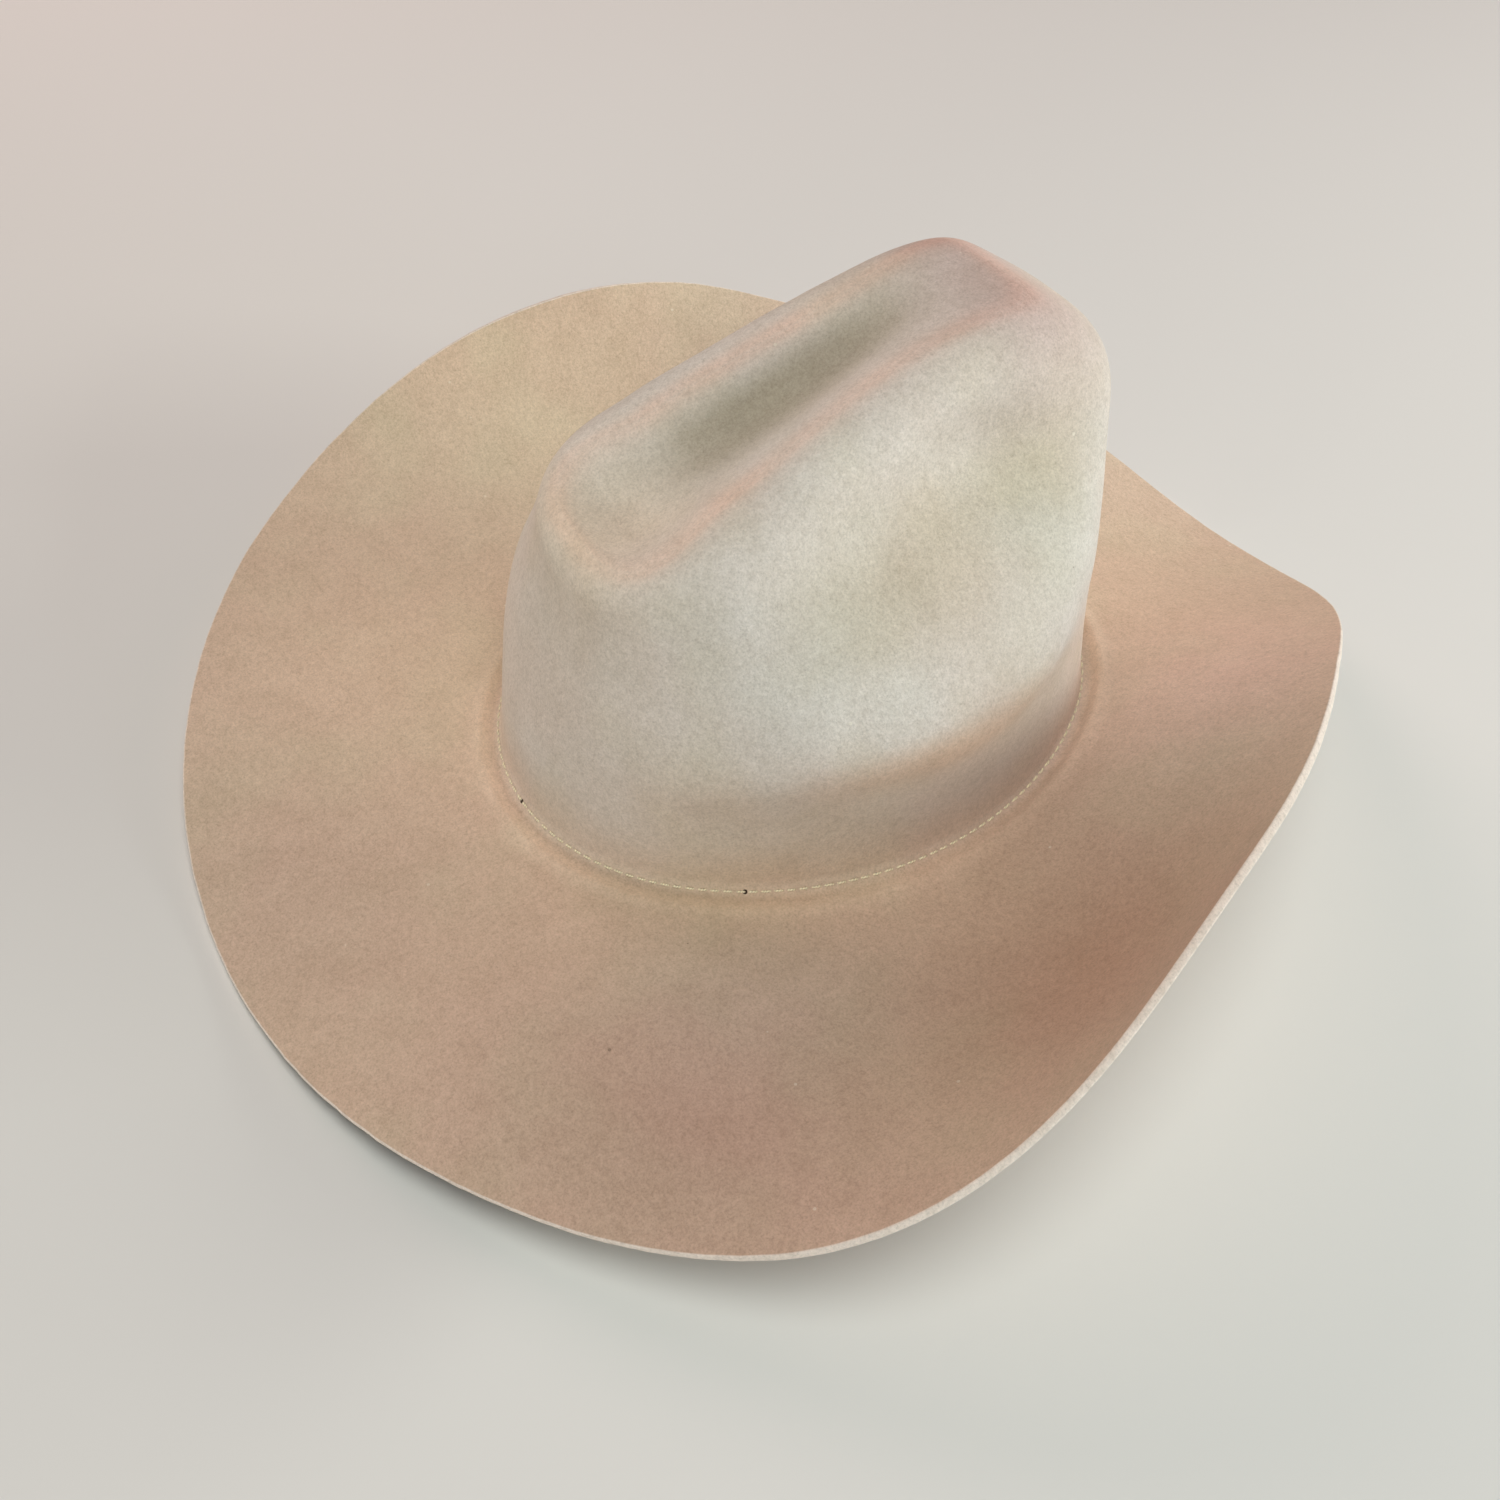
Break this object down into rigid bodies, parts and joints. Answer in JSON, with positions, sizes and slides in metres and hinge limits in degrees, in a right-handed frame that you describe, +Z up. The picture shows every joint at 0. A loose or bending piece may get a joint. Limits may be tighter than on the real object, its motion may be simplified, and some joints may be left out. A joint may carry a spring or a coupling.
{
  "type": "cowboy hat",
  "caption": "Western felt hat with a centre crease, side dents and turned-up brim sides, with a sewn-in leather sweatband that turns down and a satin lining.",
  "frame": {"origin": "centre of the head opening, on the plane where the crown meets the brim", "axes": "+Z up through the crown, the front of the hat faces -Y, the wearer's right is -X"},
  "size_m": [0.3875, 0.4018, 0.154],
  "materials": {
    "felt": "short soft wool felt nap, pale silver cream",
    "seam_thread": "fine twisted thread",
    "band_leather": "smooth tan leather, light sheen",
    "reed_plastic": "smooth rod",
    "welt_cloth": "woven tape",
    "band_thread": "waxed thread",
    "patch_leather": "thin skived leather",
    "bow_ribbon": "narrow ribbed ribbon",
    "lining_satin": "satin weave, soft sheen",
    "lining_cord": "covered cord"
  },
  "bodies": {
    "hat": {"felt_body": "felt", "seam_stitches": "seam_thread", "sweatband_reed": "reed_plastic", "reed_welt": "welt_cloth", "lining_side": "lining_satin", "lining_tip": "lining_satin", "lining_cord": "lining_cord"},
    "sweatband": {"sweatband": "band_leather", "welt_stitches": "band_thread", "sweatband_back_patch": "patch_leather", "sweatband_back_stitches": "band_thread", "bow_loops": "bow_ribbon", "bow_knot": "bow_ribbon"}
  },
  "joints": [
    {"name": "sweatband_turn_down", "type": "slide", "parent": "hat", "child": "sweatband", "axis": [0, 0, -1], "range_m": [0, 0.05]}
  ]
}
